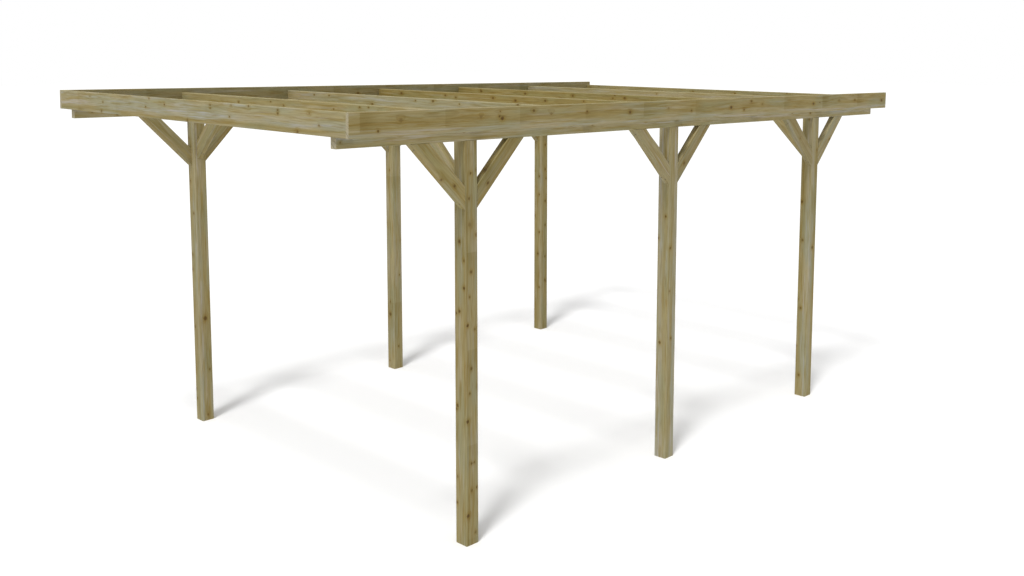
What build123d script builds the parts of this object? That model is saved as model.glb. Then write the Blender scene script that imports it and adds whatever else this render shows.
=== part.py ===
from build123d import *
import os

# Timber carport frame: six posts, two beams, seven rafters, edge boards and knee braces.
# Millimetres, +Z up, the front towards -Y, the origin on the ground in the middle.

# Timber sections
post_side = 90.0  # square posts
rail_thick = 45.0  # beams, rafters and braces
rail_deep = 90.0
board_thick = 22.0  # boards round the edge of the roof
board_deep = 125.0
arris = 3.0  # planed-off corners of every piece

# Overall sizes
frame_width = 2955.0  # over the outer faces of the posts
beam_length = 5400.0
front_height = 2470.0  # ground to the top front edge of the roof
roof_fall = 1.0  # degrees, down towards the rear

# Roof
eave_overhang = 105.0  # rafter ends beyond the outer faces of the beams
end_overhang = 882.5  # beam ends beyond the middle of the end posts
board_upstand = 32.0  # boards above the tops of the rafters
rafter_notch = 28.0  # depth to which a rafter drops over a beam

# Knee braces
beam_brace_drop = 370.0  # foot of a brace below the beam's underside
rafter_brace_drop = 378.0  # foot of a brace below the rafter's underside
brace_angle = 45.0
brace_blank = 900.0  # raw bar before its ends are mitred

# Places that follow from the sizes above
post_x = (frame_width - post_side) / 2
beam_x = (frame_width - rail_thick) / 2
board_x = frame_width / 2 + eave_overhang + board_thick / 2
rafter_length = frame_width + 2 * eave_overhang
roof_length = beam_length + board_thick  # the front board lies across the beams' front ends
beam_middle = board_thick / 2
post_reach = beam_length / 2 - end_overhang
post_rows = {
    "front": beam_middle - post_reach,
    "middle": beam_middle,
    "rear": beam_middle + post_reach,
}
sides = {"left": -1, "right": 1}

# The roof's own plane lies level across the roof, falls to the rear and runs
# through the boards at half their depth, above the middle of the ground plan.
roof_normal = Vector(0, 0, 1).rotate(Axis.X, -roof_fall)
level_roof = Plane(origin=(0, 0, 0), x_dir=(1, 0, 0), z_dir=roof_normal)
front_edge = level_roof.from_local_coords(Vector(0, -roof_length / 2, board_deep / 2))
roof = Plane(origin=(0, 0, front_height - front_edge.Z), x_dir=(1, 0, 0), z_dir=roof_normal)

# Heights in the roof's plane, measured square to it
rafter_top = board_deep / 2 - board_upstand
rafter_under = rafter_top - rail_deep
beam_top = rafter_under + rafter_notch
beam_under = beam_top - rail_deep
rafter_seat = roof.offset(rafter_under)
beam_seat = roof.offset(beam_under)


def height_at(seat, y):
    """Height above ground of a roof plane at a distance y from the middle."""
    return seat.origin.Z - (y - seat.origin.Y) * seat.z_dir.Y / seat.z_dir.Z


def along_roof(y):
    """Distance along the roof's slope that stands over a ground distance y."""
    return roof.to_local_coords(Vector(0, y, height_at(rafter_seat, y))).Y


def export(piece, name):
    """Label a finished piece and write it to a file of the same name."""
    piece.part.label = name
    export_step(piece.part, f"parts/{name}.step")


def bar_section(width, depth):
    """Planed section with its corners taken off, in the sketch that is open."""
    Rectangle(width, depth)
    chamfer(vertices(), arris)


def make_post(name, side, y):
    """Post with its outer half cut away at the top as a sloping seat for the beam."""
    with BuildPart() as post:
        with BuildSketch(Plane.XY):
            with Locations((side * post_x, y)):
                Rectangle(post_side, post_side)
            chamfer(vertices(), arris)
        extrude(amount=front_height)
        split(bisect_by=rafter_seat, keep=Keep.BOTTOM)
        with BuildSketch(beam_seat):
            with Locations((side * beam_x, along_roof(y))):
                Rectangle(rail_thick, 2 * post_side)
        extrude(amount=rail_deep, mode=Mode.SUBTRACT)
    export(post, name)


def make_beam(name, side):
    """Beam that lies in the posts' notches, flush with their outer faces."""
    section = Plane(
        origin=roof.from_local_coords(Vector(side * beam_x, beam_middle, (beam_top + beam_under) / 2)),
        x_dir=(1, 0, 0),
        z_dir=roof.y_dir,
    )
    with BuildPart() as beam:
        with BuildSketch(section):
            bar_section(rail_thick, rail_deep)
        extrude(amount=beam_length / 2, both=True)
    export(beam, name)


def make_rafter(name, along):
    """Rafter between the side boards, notched over both beams."""
    section = Plane(
        origin=roof.from_local_coords(Vector(0, along, (rafter_top + rafter_under) / 2)),
        x_dir=roof.y_dir,
        z_dir=(1, 0, 0),
    )
    with BuildPart() as rafter:
        with BuildSketch(section):
            bar_section(rail_thick, rail_deep)
        extrude(amount=rafter_length / 2, both=True)
        with BuildSketch(beam_seat):
            with Locations(*[(side * beam_x, along) for side in sides.values()]):
                Rectangle(rail_thick, 2 * rail_thick)
        extrude(amount=rail_deep, mode=Mode.SUBTRACT)
    export(rafter, name)


def make_board(name, centre, run, length):
    """Edge board on its edge, centred in the roof's plane and running along one direction."""
    section = Plane(origin=roof.from_local_coords(centre), x_dir=run.cross(roof.z_dir), z_dir=run)
    with BuildPart() as board:
        with BuildSketch(section):
            bar_section(board_thick, board_deep)
        extrude(amount=length / 2, both=True)
    export(board, name)


def make_brace(name, foot, away, seat):
    """Knee brace from a post's face up to a seat, cut to fit both.

    foot is the lowest corner on the post's face, in the middle of the brace's
    thickness, and away points square off that face.
    """
    across = away.cross(Vector(0, 0, 1))
    run = away.rotate(Axis((0, 0, 0), across), brace_angle)
    up_side = across.cross(run)
    section = Plane(origin=foot + up_side * rail_deep / 2, x_dir=across, z_dir=run)
    with BuildPart() as brace:
        with BuildSketch(section):
            bar_section(rail_thick, rail_deep)
        extrude(amount=brace_blank, both=True)
        split(bisect_by=Plane(origin=foot, z_dir=away), keep=Keep.TOP)
        split(bisect_by=seat, keep=Keep.BOTTOM)
    export(brace, name)


os.makedirs("parts", exist_ok=True)

# Each post carries a beam, two braces under the beam and one under the rafter above it
for row, y in post_rows.items():
    for hand, side in sides.items():
        corner = f"{row}_{hand}"
        make_post(f"post_{corner}", side, y)

        beam_foot = height_at(beam_seat, y) - beam_brace_drop
        rafter_foot = height_at(rafter_seat, y) - rafter_brace_drop
        front_foot = Vector(side * beam_x, y - post_side / 2, beam_foot)
        rear_foot = Vector(side * beam_x, y + post_side / 2, beam_foot)
        inner_foot = Vector(side * (post_x - post_side / 2), y, rafter_foot)
        make_brace(f"brace_{corner}_forward", front_foot, Vector(0, -1, 0), beam_seat)
        make_brace(f"brace_{corner}_backward", rear_foot, Vector(0, 1, 0), beam_seat)
        make_brace(f"brace_{corner}_inward", inner_foot, Vector(-side, 0, 0), rafter_seat)

for hand, side in sides.items():
    make_beam(f"beam_{hand}", side)
    make_board(f"side_board_{hand}", Vector(side * board_x, 0, 0), roof.y_dir, roof_length)

front_board_along = (board_thick - roof_length) / 2
make_board("front_board", Vector(0, front_board_along, 0), roof.x_dir, rafter_length)

# A rafter stands over each pair of posts, at each end of the beams and midway between posts
first_rafter = beam_middle - beam_length / 2 + rail_thick / 2
last_rafter = beam_middle + beam_length / 2 - rail_thick / 2
over_front, over_middle, over_rear = [along_roof(y) for y in post_rows.values()]
rafter_places = [
    first_rafter,
    over_front,
    (over_front + over_middle) / 2,
    over_middle,
    (over_middle + over_rear) / 2,
    over_rear,
    last_rafter,
]
for number, along in enumerate(rafter_places, start=1):
    make_rafter(f"rafter_{number}", along)
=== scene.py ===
"""Looks of a carport frame of planed, pressure-treated pine, standing in a plain white studio."""

import logging
import math
import random
from collections.abc import Callable, Iterable, Iterator
from dataclasses import dataclass, field
from enum import Enum
from functools import reduce
from typing import ClassVar

import bmesh
import bpy
from mathutils import Matrix, Vector


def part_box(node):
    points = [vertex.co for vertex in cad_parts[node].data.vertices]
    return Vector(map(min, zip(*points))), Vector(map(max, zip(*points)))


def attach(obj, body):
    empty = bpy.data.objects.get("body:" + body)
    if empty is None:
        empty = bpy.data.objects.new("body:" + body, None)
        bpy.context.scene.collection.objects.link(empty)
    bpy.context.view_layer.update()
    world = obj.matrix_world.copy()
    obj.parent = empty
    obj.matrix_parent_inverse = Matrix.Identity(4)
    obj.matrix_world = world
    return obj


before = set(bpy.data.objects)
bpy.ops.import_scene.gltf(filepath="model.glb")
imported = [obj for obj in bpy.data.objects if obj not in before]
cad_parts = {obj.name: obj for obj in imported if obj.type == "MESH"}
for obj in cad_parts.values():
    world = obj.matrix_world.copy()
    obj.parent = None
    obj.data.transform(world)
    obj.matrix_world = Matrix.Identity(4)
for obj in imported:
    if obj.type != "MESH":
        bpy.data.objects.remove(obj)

log = logging.getLogger("carport")

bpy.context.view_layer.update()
BODY = "root"
TIMBER_SLOT = "treated_pine"
SCREW_SLOT = "screw_steel"

# Kinds of socket, and the inputs of a mixing node that take the share and the two colours
NUMBER = "NodeSocketFloat"
PLACE = "NodeSocketVector"
BLEND_INPUTS = (0, 6, 7)
WHITE = (1.0, 1.0, 1.0, 1.0)
ORIGIN = (0.0, 0.0, 0.0)

# The frame's own directions, and its rows of posts
ROOF_FALL = math.radians(1.0)
UP = Vector((0.0, 0.0, 1.0))
BACK = Vector((0.0, 1.0, 0.0))
RIGHT = Vector((1.0, 0.0, 0.0))
UP_ROOF = Vector((0.0, -math.cos(ROOF_FALL), math.sin(ROOF_FALL)))
ROWS = ("front", "middle", "rear")

# A pair is the two ends of a soft edge or a range, a factor and a start, or a noise's scale and detail
Pair = tuple[float, float]
Colour = tuple[float, float, float, float]
Socket = bpy.types.NodeSocket
Term = Socket | float | tuple[float, ...]
Terms = dict[str, Term]


# Shader trees


class Graph:
    """Writes the nodes of one shader tree, term by term."""

    def __init__(self, tree: bpy.types.NodeTree) -> None:
        """Take the tree of a material, a world or a group to write in."""
        self.tree = tree

    def add(self, kind: str, terms: dict[str | int, Term] | None = None, **settings: object) -> bpy.types.Node:
        """Add one node and feed its inputs.

        Args:
            kind: Blender's name for the kind of node.
            terms: what its inputs take, by name or by number.
            settings: properties of the node and their values.

        Returns:
            The new node.
        """
        node = self.tree.nodes.new(kind)
        for name, value in settings.items():
            setattr(node, name, value)
        for name, term in (terms or {}).items():
            self.feed(node.inputs[name], term)
        return node

    def feed(self, socket: Socket, term: Term) -> None:
        """Link a socket to another, or give it a plain value.

        Args:
            socket: the input that is fed.
            term: the socket or the value that feeds it.
        """
        if isinstance(term, bpy.types.NodeSocket):
            self.tree.links.new(term, socket)
        else:
            socket.default_value = term

    def math(self, operation: str, *terms: Term, clamp: bool = False) -> Socket:
        """Work out one sum of numbers.

        Args:
            operation: the sum's name, such as ADD.
            terms: its one to three terms.
            clamp: whether the result is kept between 0 and 1.

        Returns:
            The result's socket.
        """
        node = self.add("ShaderNodeMath", dict(enumerate(terms)), operation=operation, use_clamp=clamp)
        return node.outputs[0]

    def plus(self, *terms: Term) -> Socket:
        """Add numbers, from the first to the last."""
        return reduce(lambda so_far, term: self.math("ADD", so_far, term), terms)

    def minus(self, *terms: Term) -> Socket:
        """Take every later number from the first."""
        return reduce(lambda so_far, term: self.math("SUBTRACT", so_far, term), terms)

    def times(self, *terms: Term) -> Socket:
        """Multiply numbers, from the first to the last."""
        return reduce(lambda so_far, term: self.math("MULTIPLY", so_far, term), terms)

    def scaled(self, value: Term, factor: Term, start: Term) -> Socket:
        """Start from one number and add a value that is multiplied by a factor."""
        return self.math("MULTIPLY_ADD", value, factor, start)

    def centred(self, value: Term) -> Socket:
        """Bring a number from between 0 and 1 to between -0.5 and 0.5."""
        return self.minus(value, 0.5)

    def strayed(self, noise: Term, reach: float, start: Term) -> Socket:
        """Let a number stray to both sides, as noise from 0 to 1 tells."""
        return self.scaled(self.centred(noise), reach, start)

    def spacings(self, along: Term, first: Term, spacing: Term) -> Socket:
        """Count the spacings from the first place of a row to a point."""
        return self.math("DIVIDE", self.minus(along, first), spacing)

    def smooth(self, value: Term, low: Term, high: Term) -> Socket:
        """Rise softly from 0 at low to 1 at high, or fall where low is the larger."""
        terms = {"Value": value, "From Min": low, "From Max": high}
        return self.add("ShaderNodeMapRange", terms, interpolation_type="SMOOTHSTEP").outputs["Result"]

    def hump(self, value: Term, width: Term) -> Socket:
        """Bell curve of a distance: 1 at nothing and near 0 past twice the width."""
        share = self.math("DIVIDE", value, width)
        return self.math("EXPONENT", self.times(share, share, -1.0))

    def measure(self, operation: str, first: Term, second: Term = ORIGIN) -> Socket:
        """Work out a number from one or two vectors, such as their DOT_PRODUCT."""
        return self.add("ShaderNodeVectorMath", {0: first, 1: second}, operation=operation).outputs["Value"]

    def length(self, x: Term, y: Term) -> Socket:
        """Length of a way that goes x to the side and y up."""
        return self.measure("LENGTH", self.join(x, y))

    def split(self, vector: Term) -> tuple[Socket, Socket, Socket]:
        """Take a vector apart into its three numbers."""
        return tuple(self.add("ShaderNodeSeparateXYZ", {0: vector}).outputs)

    def join(self, x: Term = 0.0, y: Term = 0.0, z: Term = 0.0) -> Socket:
        """Put three numbers together as a vector."""
        return self.add("ShaderNodeCombineXYZ", {0: x, 1: y, 2: z}).outputs[0]

    def noise(self, place: Term, scale: float = 1.0, detail: float = 0.0, output: str = "Fac") -> Socket:
        """Add soft three-dimensional noise, put out as a number or as a colour."""
        terms = {"Vector": place, "Scale": scale, "Detail": detail}
        return self.add("ShaderNodeTexNoise", terms, noise_dimensions="3D").outputs[output]

    def dice(self, number: Term) -> tuple[Socket, Socket, Socket]:
        """Draw three fixed random numbers from 0 to 1 for a whole number."""
        node = self.add("ShaderNodeTexWhiteNoise", {"W": number}, noise_dimensions="1D")
        return self.split(node.outputs["Color"])

    def blend(self, under: Term, over: Term, share: Term, mode: str = "MIX") -> Socket:
        """Lay one colour over another.

        Args:
            under: the colour below.
            over: the colour on top.
            share: how much of the top colour shows, from 0 to 1.
            mode: how the two are mixed, such as MIX or MULTIPLY.

        Returns:
            The mixed colour's socket.
        """
        terms = dict(zip(BLEND_INPUTS, (share, under, over)))
        return self.add("ShaderNodeMix", terms, data_type="RGBA", blend_type=mode).outputs[2]

    def turn(self, place: Term, centre: Vector, turned: Matrix) -> Socket:
        """Read a place from a centre, along the axes that a matrix holds as its columns."""
        terms = {"Vector": place, "Location": centre, "Rotation": turned.to_euler()}
        return self.add("ShaderNodeMapping", terms, vector_type="TEXTURE").outputs[0]


def new_material(name: str) -> tuple[bpy.types.Material, Graph, bpy.types.Node]:
    """Start a material.

    Args:
        name: the material's name.

    Returns:
        The material, its tree and the tree's shader.
    """
    material = bpy.data.materials.new(name)
    material.use_nodes = True
    graph = Graph(material.node_tree)
    return material, graph, graph.tree.nodes["Principled BSDF"]


def numbers(*names: str) -> dict[str, str]:
    """Sockets of a group that carry numbers, by name."""
    return dict.fromkeys(names, NUMBER)


class Effect:
    """A shader node group, built once and placed in each material with its own values."""

    title: ClassVar[str] = ""
    takes: ClassVar[dict[str, str]] = {}
    gives: ClassVar[dict[str, str]] = {}

    def wire(self, graph: Graph, given: dict[str, Socket]) -> Terms:
        """Write the group's nodes.

        Args:
            graph: the group's own tree.
            given: the group's inputs by name.

        Returns:
            What each of the group's outputs is fed from.
        """
        raise NotImplementedError

    def tree(self) -> bpy.types.NodeTree:
        """Find the group's tree, which is written when it is first asked for.

        Returns:
            The tree.
        """
        found = bpy.data.node_groups.get(self.title)
        if found is not None:
            return found
        tree = bpy.data.node_groups.new(self.title, "ShaderNodeTree")
        for way, sockets in (("INPUT", self.takes), ("OUTPUT", self.gives)):
            for name, kind in sockets.items():
                tree.interface.new_socket(name, in_out=way, socket_type=kind)
        graph = Graph(tree)
        start, end = graph.add("NodeGroupInput"), graph.add("NodeGroupOutput")
        for name, term in self.wire(graph, dict(start.outputs.items())).items():
            graph.feed(end.inputs[name], term)
        return tree

    def place(self, graph: Graph, known: Terms) -> dict[str, Socket]:
        """Put the group in a tree.

        Args:
            graph: the tree that it goes in.
            known: all that is known at a point, of which the group takes what it needs.

        Returns:
            The group's outputs by name.
        """
        terms = {name: known[name] for name in self.takes}
        node = graph.add("ShaderNodeGroup", terms, node_tree=self.tree(), label=self.title)
        return dict(node.outputs.items())


@dataclass(frozen=True)
class Grain:
    """Noise drawn out along the wood: its features to the metre across and along, and its soft edge."""

    across: float
    along: float
    detail: float
    shift: float = 0.0
    edge: Pair | None = None

    def write(self, graph: Graph, x: Term, y: Term, z: Term) -> Socket:
        """Write the noise at a point.

        Args:
            graph: the tree that it goes in.
            x: the point's place in one direction across the wood.
            y: its place in the other.
            z: its place along the wood, drawn out already.

        Returns:
            The noise, raised between its edges where it has them.
        """
        found = graph.noise(graph.join(graph.times(x, self.across), graph.times(y, self.across), z), 1.0, self.detail)
        return graph.smooth(found, *self.edge) if self.edge else found


class LogShape(Effect):
    """Where a point lies in the log that the piece was sawn from."""

    title = "log_shape"
    takes = {"Log": PLACE, **numbers("Seed")}
    gives = numbers("Radius", "Angle", "Along")
    wander: ClassVar[float] = 0.007
    bends: ClassVar[float] = 0.9

    def wire(self, graph: Graph, given: dict[str, Socket]) -> Terms:
        """Measure from a pith that wanders a little along the log.

        Args:
            graph: the group's own tree.
            given: the group's inputs by name.

        Returns:
            The group's outputs by name.
        """
        x, y, along = graph.split(given["Log"])
        sway = graph.split(graph.noise(graph.join(given["Seed"], 0.0, along), self.bends, output="Color"))
        near_x, near_y = (graph.strayed(part, self.wander, straight) for part, straight in zip(sway, (x, y)))
        return {
            "Radius": graph.length(near_x, near_y),
            "Angle": graph.math("ARCTAN2", near_y, near_x),
            "Along": along,
        }


class KnotRow(Effect):
    """Branches that leave the pith one above the other, cut across by the piece's faces.

    Edges and widths are shares of a knot's size. The flat values say how much a knot and its halo
    are drawn out along the wood, and a branch's years are counted to the metre.
    """

    title = "knot_row"
    takes = numbers(
        "Radius", "Angle", "Along", "Row Angle", "First", "Spacing", "Last", "Size", "Strength", "Uneven",
        "Wobble", "Seed",
    )
    gives = numbers("Heart", "Rim", "Branch", "Halo", "Lift", "Push")
    sizes: ClassVar[Pair] = (-0.3, 1.22)
    ragged: ClassVar[Pair] = (0.9, 0.55)
    heart_flat: ClassVar[float] = 0.78
    heart_edge: ClassVar[Pair] = (1.25, 0.45)
    rim_at: ClassVar[float] = 0.95
    rim_width: ClassVar[float] = 0.16
    halo_flat: ClassVar[float] = 0.6
    halo_width: ClassVar[float] = 1.9
    halo_strength: ClassVar[Pair] = (0.7, 0.3)
    years: ClassVar[float] = 950.0
    year_edge: ClassVar[Pair] = (0.4, 1.0)
    near_width: ClassVar[float] = 2.4
    pushing: ClassVar[float] = 0.65

    def wire(self, graph: Graph, given: dict[str, Socket]) -> Terms:
        """Find the nearest knot of the row and shade by the distance from its middle.

        Args:
            graph: the group's own tree.
            given: the group's inputs by name.

        Returns:
            The group's outputs by name.
        """
        steps = graph.spacings(given["Along"], given["First"], given["Spacing"])
        number = graph.math("MINIMUM", graph.math("MAXIMUM", graph.math("ROUND", steps), 0.0), given["Last"])
        one, two, three = graph.dice(graph.plus(number, given["Seed"]))
        slip, swing = (graph.times(graph.centred(drawn), given["Uneven"]) for drawn in (one, two))
        lengthwise = graph.times(graph.minus(steps, number, slip), given["Spacing"])
        sideways = graph.times(graph.minus(given["Angle"], given["Row Angle"], swing), given["Radius"])
        size = graph.times(given["Size"], graph.scaled(three, *self.sizes))
        away = graph.length(sideways, graph.times(lengthwise, self.heart_flat))
        rough_away = graph.times(away, graph.scaled(given["Wobble"], *self.ragged))
        share = graph.math("DIVIDE", rough_away, size)
        heart = graph.times(graph.smooth(share, *self.heart_edge), given["Strength"])
        wide = graph.length(sideways, graph.times(lengthwise, self.halo_flat))
        halo = graph.hump(wide, graph.times(size, self.halo_width))
        years = graph.math("FRACT", graph.times(rough_away, self.years))
        near = graph.hump(away, graph.times(size, self.near_width))
        return {
            "Heart": heart,
            "Rim": graph.times(graph.hump(graph.minus(share, self.rim_at), self.rim_width), given["Strength"]),
            "Branch": graph.times(graph.smooth(years, *self.year_edge), heart),
            "Halo": graph.times(halo, graph.scaled(given["Strength"], *self.halo_strength)),
            "Lift": graph.times(near, size),
            "Push": graph.times(sideways, near, self.pushing),
        }


class GrowthRings(Effect):
    """Yearly rings, with the slow bends that draw arches on a flat-sawn face.

    The slow values spread the noise that makes wide and narrow years, and the two edges are the
    parts of a year in which the wood darkens and in which it ends.
    """

    title = "growth_rings"
    takes = numbers("Radius", "Turn", "Along", "Lift", "Ring Width", "Seed")
    gives = numbers("Late")
    bends: ClassVar[Pair] = (3.2, 1.0)
    bend_reach: ClassVar[float] = 0.016
    knot_lift: ClassVar[float] = -0.75
    slow_along: ClassVar[float] = 0.4
    slow_across: ClassVar[float] = 0.35
    uneven: ClassVar[float] = 1.6
    darkening: ClassVar[Pair] = (0.35, 0.9)
    year_end: ClassVar[Pair] = (1.0, 0.93)

    def wire(self, graph: Graph, given: dict[str, Socket]) -> Terms:
        """Read the rings from the radius, so that the faces and the ends agree.

        Args:
            graph: the group's own tree.
            given: the group's inputs by name.

        Returns:
            The group's outputs by name.
        """
        place = graph.join(graph.plus(given["Turn"], given["Seed"]), given["Radius"], given["Along"])
        radius = graph.strayed(graph.noise(place, *self.bends), self.bend_reach, given["Radius"])
        radius = graph.scaled(given["Lift"], self.knot_lift, radius)
        rings = graph.math("DIVIDE", radius, given["Ring Width"])
        slow_place = graph.join(rings, given["Seed"], graph.times(given["Along"], self.slow_along))
        slow = graph.noise(slow_place, self.slow_across)
        part = graph.math("FRACT", graph.scaled(slow, self.uneven, rings))
        return {"Late": graph.times(graph.smooth(part, *self.darkening), graph.smooth(part, *self.year_end))}


class Streaks(Effect):
    """Long light and dark streaks of the wood and short threads of resin, which part round knots."""

    title = "streaks"
    grains: ClassVar[dict[str, Grain]] = {
        "Light": Grain(58.0, 2.6, 3.0, 0.0, (0.50, 0.66)),
        "Dark": Grain(74.0, 4.6, 3.0, 31.0, (0.50, 0.66)),
        "Resin": Grain(200.0, 11.0, 1.0, 57.0, (0.62, 0.76)),
        "Fine": Grain(260.0, 7.0, 2.0, 73.0),
        "Patch": Grain(16.0, 2.4, 1.0, 97.0, (0.42, 0.66)),
    }
    takes = numbers("Radius", "Turn", "Along", "Push", "Seed")
    gives = numbers(*grains)
    sway: ClassVar[Pair] = (2.3, 1.0)
    sway_across: ClassVar[float] = 5.0
    sway_reach: ClassVar[float] = 0.014

    def wire(self, graph: Graph, given: dict[str, Socket]) -> Terms:
        """Stretch noise along the grain, on lines that sway together.

        Args:
            graph: the group's own tree.
            given: the group's inputs by name.

        Returns:
            The group's outputs by name.
        """
        along, seed = given["Along"], given["Seed"]
        sway_place = graph.join(seed, graph.times(given["Turn"], self.sway_across), along)
        straight = graph.minus(given["Turn"], given["Push"])
        turn = graph.strayed(graph.noise(sway_place, *self.sway), self.sway_reach, straight)
        return {
            name: grain.write(
                graph, turn, given["Radius"], graph.scaled(along, grain.along, graph.plus(seed, grain.shift))
            )
            for name, grain in self.grains.items()
        }


class TintBand(Effect):
    """One band of tint that keeps to a ring of the log for the whole length of the piece."""

    title = "tint_band"
    takes = numbers("Radius", "Along", "Ring", "Width", "Seed")
    gives = numbers("Band")
    drift: ClassVar[tuple[float, float, float]] = (3.0, 1.9, 1.5)
    sway: ClassVar[tuple[float, float, float]] = (9.0, 2.6, 1.0)
    sway_reach: ClassVar[float] = 0.008
    uneven: ClassVar[Pair] = (1.5, 0.15)

    def wire(self, graph: Graph, given: dict[str, Socket]) -> Terms:
        """Shade by the way from the ring, stronger and weaker along the piece.

        Args:
            graph: the group's own tree.
            given: the group's inputs by name.

        Returns:
            The group's outputs by name.
        """
        drift, sway = (
            graph.noise(graph.join(given["Seed"], lane, given["Along"]), scale, detail)
            for lane, scale, detail in (self.drift, self.sway)
        )
        off = graph.strayed(sway, self.sway_reach, graph.minus(given["Radius"], given["Ring"]))
        strength = graph.scaled(drift, *self.uneven)
        return {"Band": graph.math("MULTIPLY", graph.hump(off, given["Width"]), strength, clamp=True)}


class ToneSteps(Effect):
    """Short lengths of darker tone, square at one end and fading out at the other.

    The square end is ragged, by so many teeth to the metre, each of them up to a tooth deep.
    """

    title = "tone_steps"
    takes = numbers("Along", "Across", "First", "Spacing", "Length", "From", "Seed")
    gives = numbers("Dark")
    teeth: ClassVar[float] = 260.0
    tooth: ClassVar[float] = 0.006
    fading: ClassVar[float] = 0.8
    square_end: ClassVar[float] = 0.005
    soft_side: ClassVar[float] = 0.006
    uneven: ClassVar[Pair] = (0.8, 0.2)

    def wire(self, graph: Graph, given: dict[str, Socket]) -> Terms:
        """Darken one share of each spacing, by an amount that differs from step to step.

        Args:
            graph: the group's own tree.
            given: the group's inputs by name.

        Returns:
            The group's outputs by name.
        """
        steps = graph.spacings(given["Along"], given["First"], given["Spacing"])
        number = graph.math("FLOOR", steps)
        strength, _, _ = graph.dice(graph.plus(number, given["Seed"]))
        ragged = graph.noise(graph.join(graph.times(given["Across"], self.teeth), given["Seed"], number))
        place = graph.scaled(ragged, self.tooth, graph.times(graph.math("FRACT", steps), given["Spacing"]))
        fading = graph.smooth(place, 0.0, graph.times(given["Length"], self.fading))
        square = graph.smooth(place, given["Length"], graph.minus(given["Length"], self.square_end))
        upper = graph.smooth(graph.minus(given["Across"], given["From"]), -self.soft_side, self.soft_side)
        return {"Dark": graph.times(fading, square, graph.scaled(strength, *self.uneven), upper)}


class Fibres(Effect):
    """Fine fibres and short dark flecks that planing leaves."""

    title = "fibres"
    grains: ClassVar[dict[str, Grain]] = {
        "Fibre": Grain(900.0, 22.0, 3.0),
        "Fleck": Grain(420.0, 34.0, 1.0, edge=(0.68, 0.8)),
    }
    takes = {"Section": PLACE, **numbers("Seed")}
    gives = numbers(*grains)

    def wire(self, graph: Graph, given: dict[str, Socket]) -> Terms:
        """Stretch noise along the grain at the scale of real fibres.

        Args:
            graph: the group's own tree.
            given: the group's inputs by name.

        Returns:
            The group's outputs by name.
        """
        x, y, along = graph.split(given["Section"])
        shifted = graph.plus(along, given["Seed"])
        return {
            name: grain.write(graph, x, y, graph.times(shifted, grain.along)) for name, grain in self.grains.items()
        }


class EndGrain(Effect):
    """Where a piece was cut across its fibres, and the drying cracks that open there.

    There are so many cracks to the radian. They bend on their way outwards and are broken up.
    """

    title = "end_grain"
    takes = {"Grain": PLACE, **numbers("Radius", "Angle", "Seed")}
    gives = numbers("Cut", "Crack")
    facing_end: ClassVar[Pair] = (0.5, 0.68)
    crack_turns: ClassVar[float] = 3.4
    bends: ClassVar[float] = 40.0
    bend_detail: ClassVar[float] = 2.0
    bend_reach: ClassVar[float] = 0.5
    crack_edge: ClassVar[Pair] = (0.0011, 0.0003)
    broken: ClassVar[float] = 14.0
    broken_edge: ClassVar[Pair] = (0.46, 0.56)

    def wire(self, graph: Graph, given: dict[str, Socket]) -> Terms:
        """Compare the face's direction with the grain's, and run thin cracks out from the pith.

        Args:
            graph: the group's own tree.
            given: the group's inputs by name.

        Returns:
            The group's outputs by name.
        """
        normal = graph.add("ShaderNodeNewGeometry").outputs["Normal"]
        facing = graph.math("ABSOLUTE", graph.measure("DOT_PRODUCT", normal, given["Grain"]))
        cut = graph.smooth(facing, *self.facing_end)
        sway_place = graph.join(graph.times(given["Radius"], self.bends), given["Seed"])
        turns = graph.scaled(given["Angle"], self.crack_turns, given["Seed"])
        turns = graph.scaled(graph.noise(sway_place, 1.0, self.bend_detail), self.bend_reach, turns)
        gap = graph.math("ABSOLUTE", graph.centred(graph.math("FRACT", turns)))
        gap = graph.times(gap, graph.math("DIVIDE", given["Radius"], self.crack_turns))
        length = graph.noise(graph.join(graph.math("FLOOR", turns), given["Radius"], given["Seed"]), self.broken)
        crack = graph.times(graph.smooth(gap, *self.crack_edge), graph.smooth(length, *self.broken_edge), cut)
        return {"Cut": cut, "Crack": crack}


class ArrisWear(Effect):
    """Painted highlight along the planed-off corners of a piece, which are drawn a little lighter than its faces
    where light catches them.
    """

    title = "arris_wear"
    takes = {"Section": PLACE, **numbers("Half Width", "Half Depth", "Reach")}
    gives = numbers("Worn")
    rough: ClassVar[Pair] = (38.0, 2.0)
    rough_reach: ClassVar[float] = 0.003
    fading: ClassVar[float] = 1.6

    def wire(self, graph: Graph, given: dict[str, Socket]) -> Terms:
        """Measure the way to the nearest long corner, unevenly.

        Args:
            graph: the group's own tree.
            given: the group's inputs by name.

        Returns:
            The group's outputs by name.
        """
        x, y, _ = graph.split(given["Section"])
        from_side = graph.minus(given["Half Width"], graph.math("ABSOLUTE", x))
        from_edge = graph.minus(given["Half Depth"], graph.math("ABSOLUTE", y))
        away = graph.math("MAXIMUM", from_side, from_edge)
        away = graph.scaled(graph.noise(given["Section"], *self.rough), self.rough_reach, away)
        return {"Worn": graph.smooth(away, graph.times(given["Reach"], self.fading), given["Reach"])}


# Finishes

# The figure of the photographed wood repeats after so many metres
PITCH = 0.5415


@dataclass(frozen=True)
class Knot:
    """One knot on a face, or a row of knots on the same side of the log.

    A post's knots are placed up from the ground and sideways from its middle. Those of a
    rafter or a board are placed along it from the frame's middle and down from its upper edge.
    """

    along: float
    across: float
    size: float = 0.0060
    strength: float = 0.8
    count: int = 1
    spacing: float = PITCH
    uneven: float = 0.0


class Tint(Enum):
    """The two tints of a band, as shares of the wood's own colour."""

    PALE = (1.13, 1.18, 1.58, 1.0)
    BROWN = (0.83, 0.75, 0.50, 1.0)


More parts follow.
